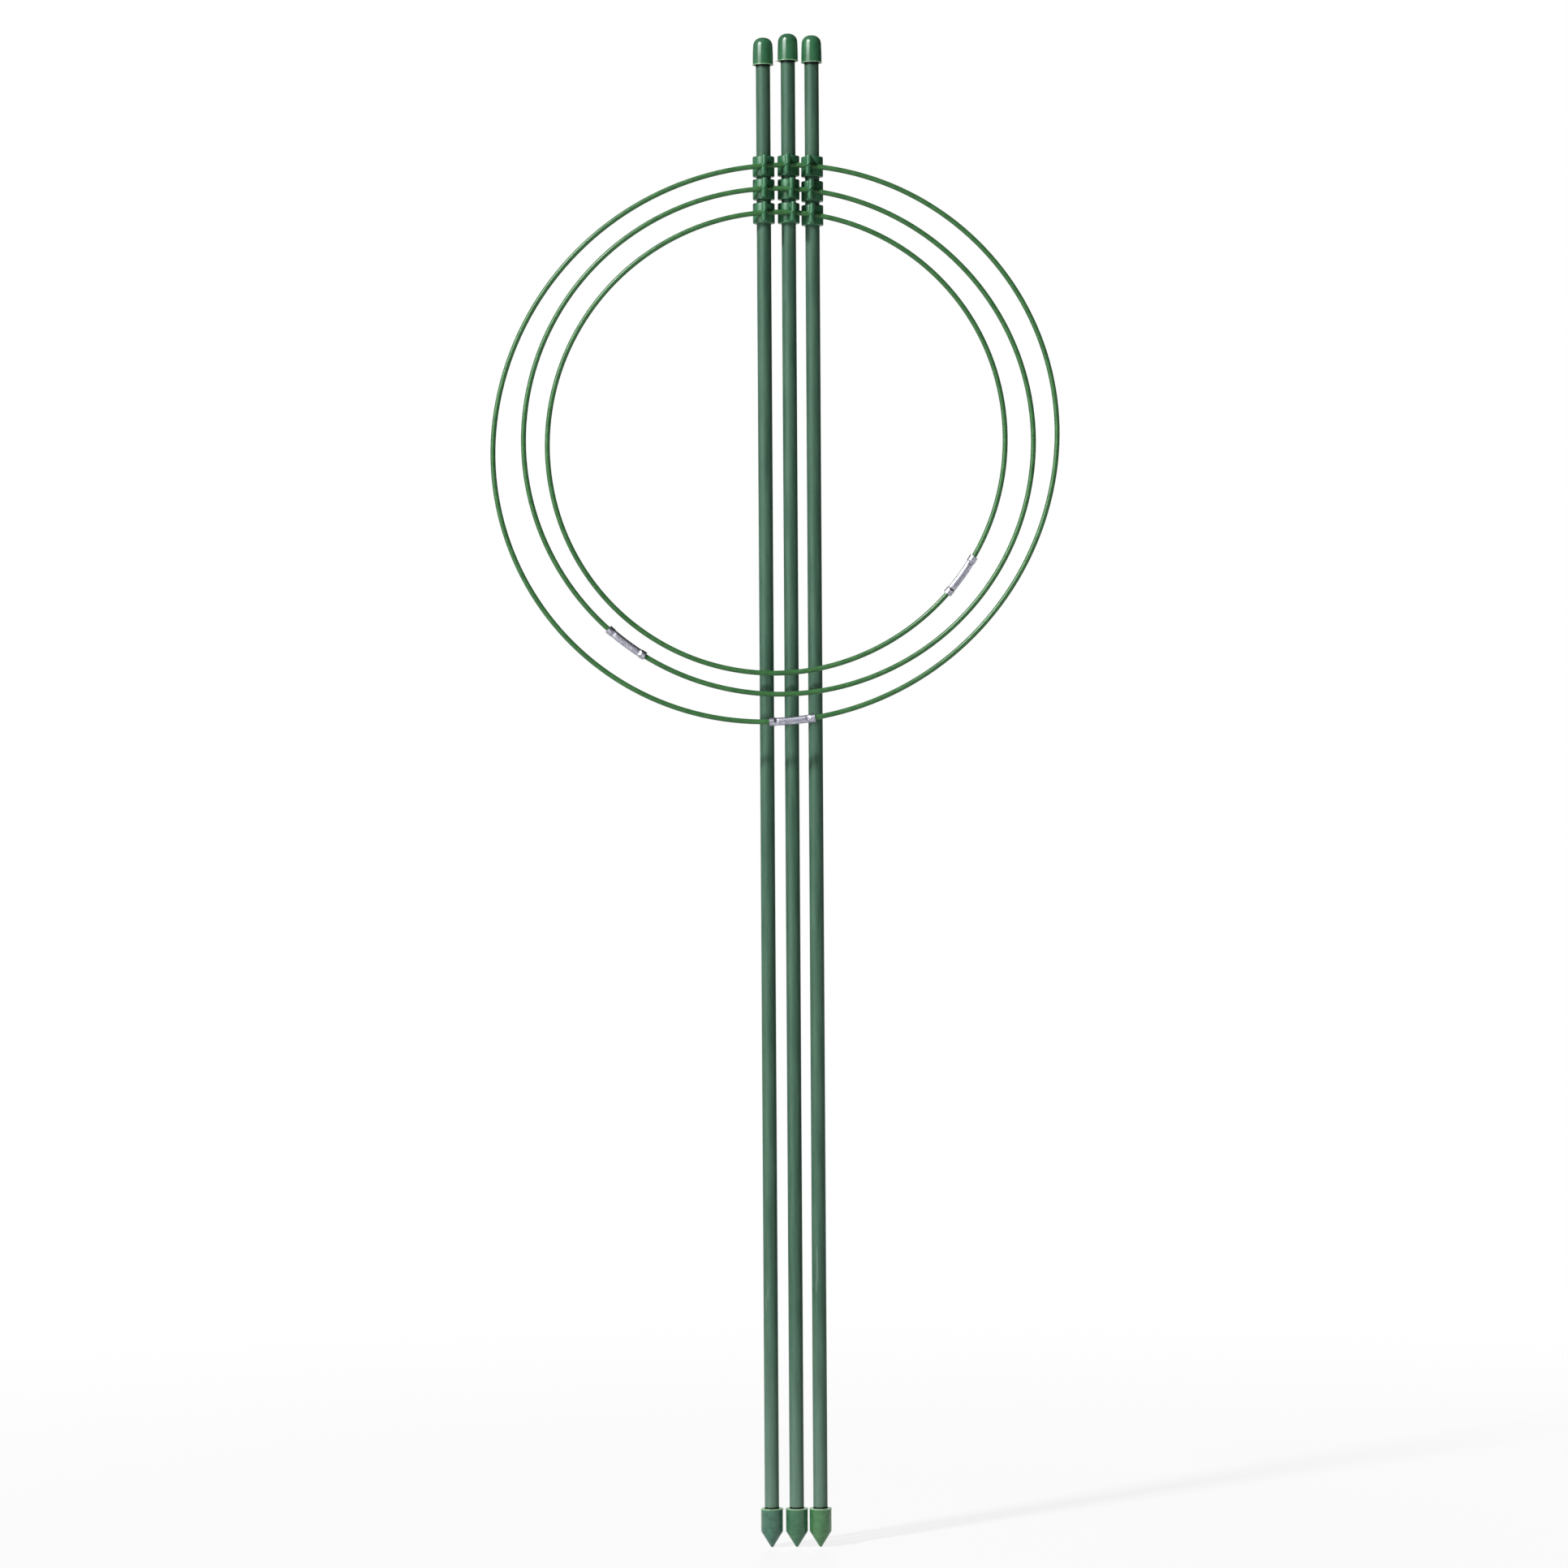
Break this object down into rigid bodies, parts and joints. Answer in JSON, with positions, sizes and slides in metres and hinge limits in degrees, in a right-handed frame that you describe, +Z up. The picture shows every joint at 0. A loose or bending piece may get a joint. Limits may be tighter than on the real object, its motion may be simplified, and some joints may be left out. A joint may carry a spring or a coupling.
{
  "type": "plant support ring stake",
  "caption": "Green coated garden stakes side by side with capped tops and pointed feet, and coated wire rings that hang in sliding clips and tilt level to hold up a plant.",
  "frame": {"origin": "point of the centre stake's foot", "axes": "+Z up along the stakes to the caps, +X to the right across the stakes as seen from the ring side, -Y towards the viewer, where the rings hang"},
  "size_m": [0.335, 0.0325, 0.895],
  "materials": {
    "stake_tube": "bare steel",
    "stake_sleeve": "satin",
    "stake_cap": "gloss",
    "stake_foot": "satin",
    "clip": "gloss",
    "ring_core": "bare steel",
    "ring_coating": "satin",
    "ring_ferrule": "pressed"
  },
  "bodies": {
    "left_stake": {"left_tube": "stake_tube", "left_sleeve": "stake_sleeve", "left_cap": "stake_cap", "left_foot": "stake_foot"},
    "centre_stake": {"centre_tube": "stake_tube", "centre_sleeve": "stake_sleeve", "centre_cap": "stake_cap", "centre_foot": "stake_foot"},
    "right_stake": {"right_tube": "stake_tube", "right_sleeve": "stake_sleeve", "right_cap": "stake_cap", "right_foot": "stake_foot"},
    "upper_row": {"left_upper_clip": "clip", "centre_upper_clip": "clip", "right_upper_clip": "clip"},
    "middle_row": {"left_middle_clip": "clip", "centre_middle_clip": "clip", "right_middle_clip": "clip"},
    "lower_row": {"left_lower_clip": "clip", "centre_lower_clip": "clip", "right_lower_clip": "clip"},
    "outer_ring": {"outer_wire": "ring_core", "outer_coating": "ring_coating", "outer_ferrule": "ring_ferrule"},
    "middle_ring": {"middle_wire": "ring_core", "middle_coating": "ring_coating", "middle_ferrule": "ring_ferrule"},
    "inner_ring": {"inner_wire": "ring_core", "inner_coating": "ring_coating", "inner_ferrule": "ring_ferrule"}
  },
  "joints": [
    {"name": "left_stake_slide", "type": "slide", "parent": "centre_stake", "child": "left_stake", "axis": [0, 0, 1], "range_m": [-0.025, 0.04]},
    {"name": "right_stake_slide", "type": "slide", "parent": "centre_stake", "child": "right_stake", "axis": [0, 0, 1], "range_m": [-0.025, 0.04]},
    {"name": "upper_row_slide", "type": "slide", "parent": "centre_stake", "child": "upper_row", "axis": [0, 0, 1], "range_m": [-0.1, 0.025]},
    {"name": "middle_row_slide", "type": "slide", "parent": "upper_row", "child": "middle_row", "axis": [0, 0, 1], "range_m": [-0.19, 0]},
    {"name": "lower_row_slide", "type": "slide", "parent": "middle_row", "child": "lower_row", "axis": [0, 0, 1], "range_m": [-0.19, 0]},
    {"name": "outer_ring_tilt", "type": "hinge", "parent": "upper_row", "child": "outer_ring", "pos_m": [-0.00051, -0.0083, 0.8164], "axis": [-0.9999, 0, 0.0144], "range_deg": [0, 87.4]},
    {"name": "middle_ring_tilt", "type": "hinge", "parent": "middle_row", "child": "middle_ring", "pos_m": [0.00117, -0.0083, 0.8024], "axis": [-0.9984, 0, 0.0567], "range_deg": [0, 88.3]},
    {"name": "inner_ring_tilt", "type": "hinge", "parent": "lower_row", "child": "inner_ring", "pos_m": [0.00176, -0.0083, 0.7884], "axis": [-0.9981, 0, 0.0621], "range_deg": [0, 89.2]}
  ]
}
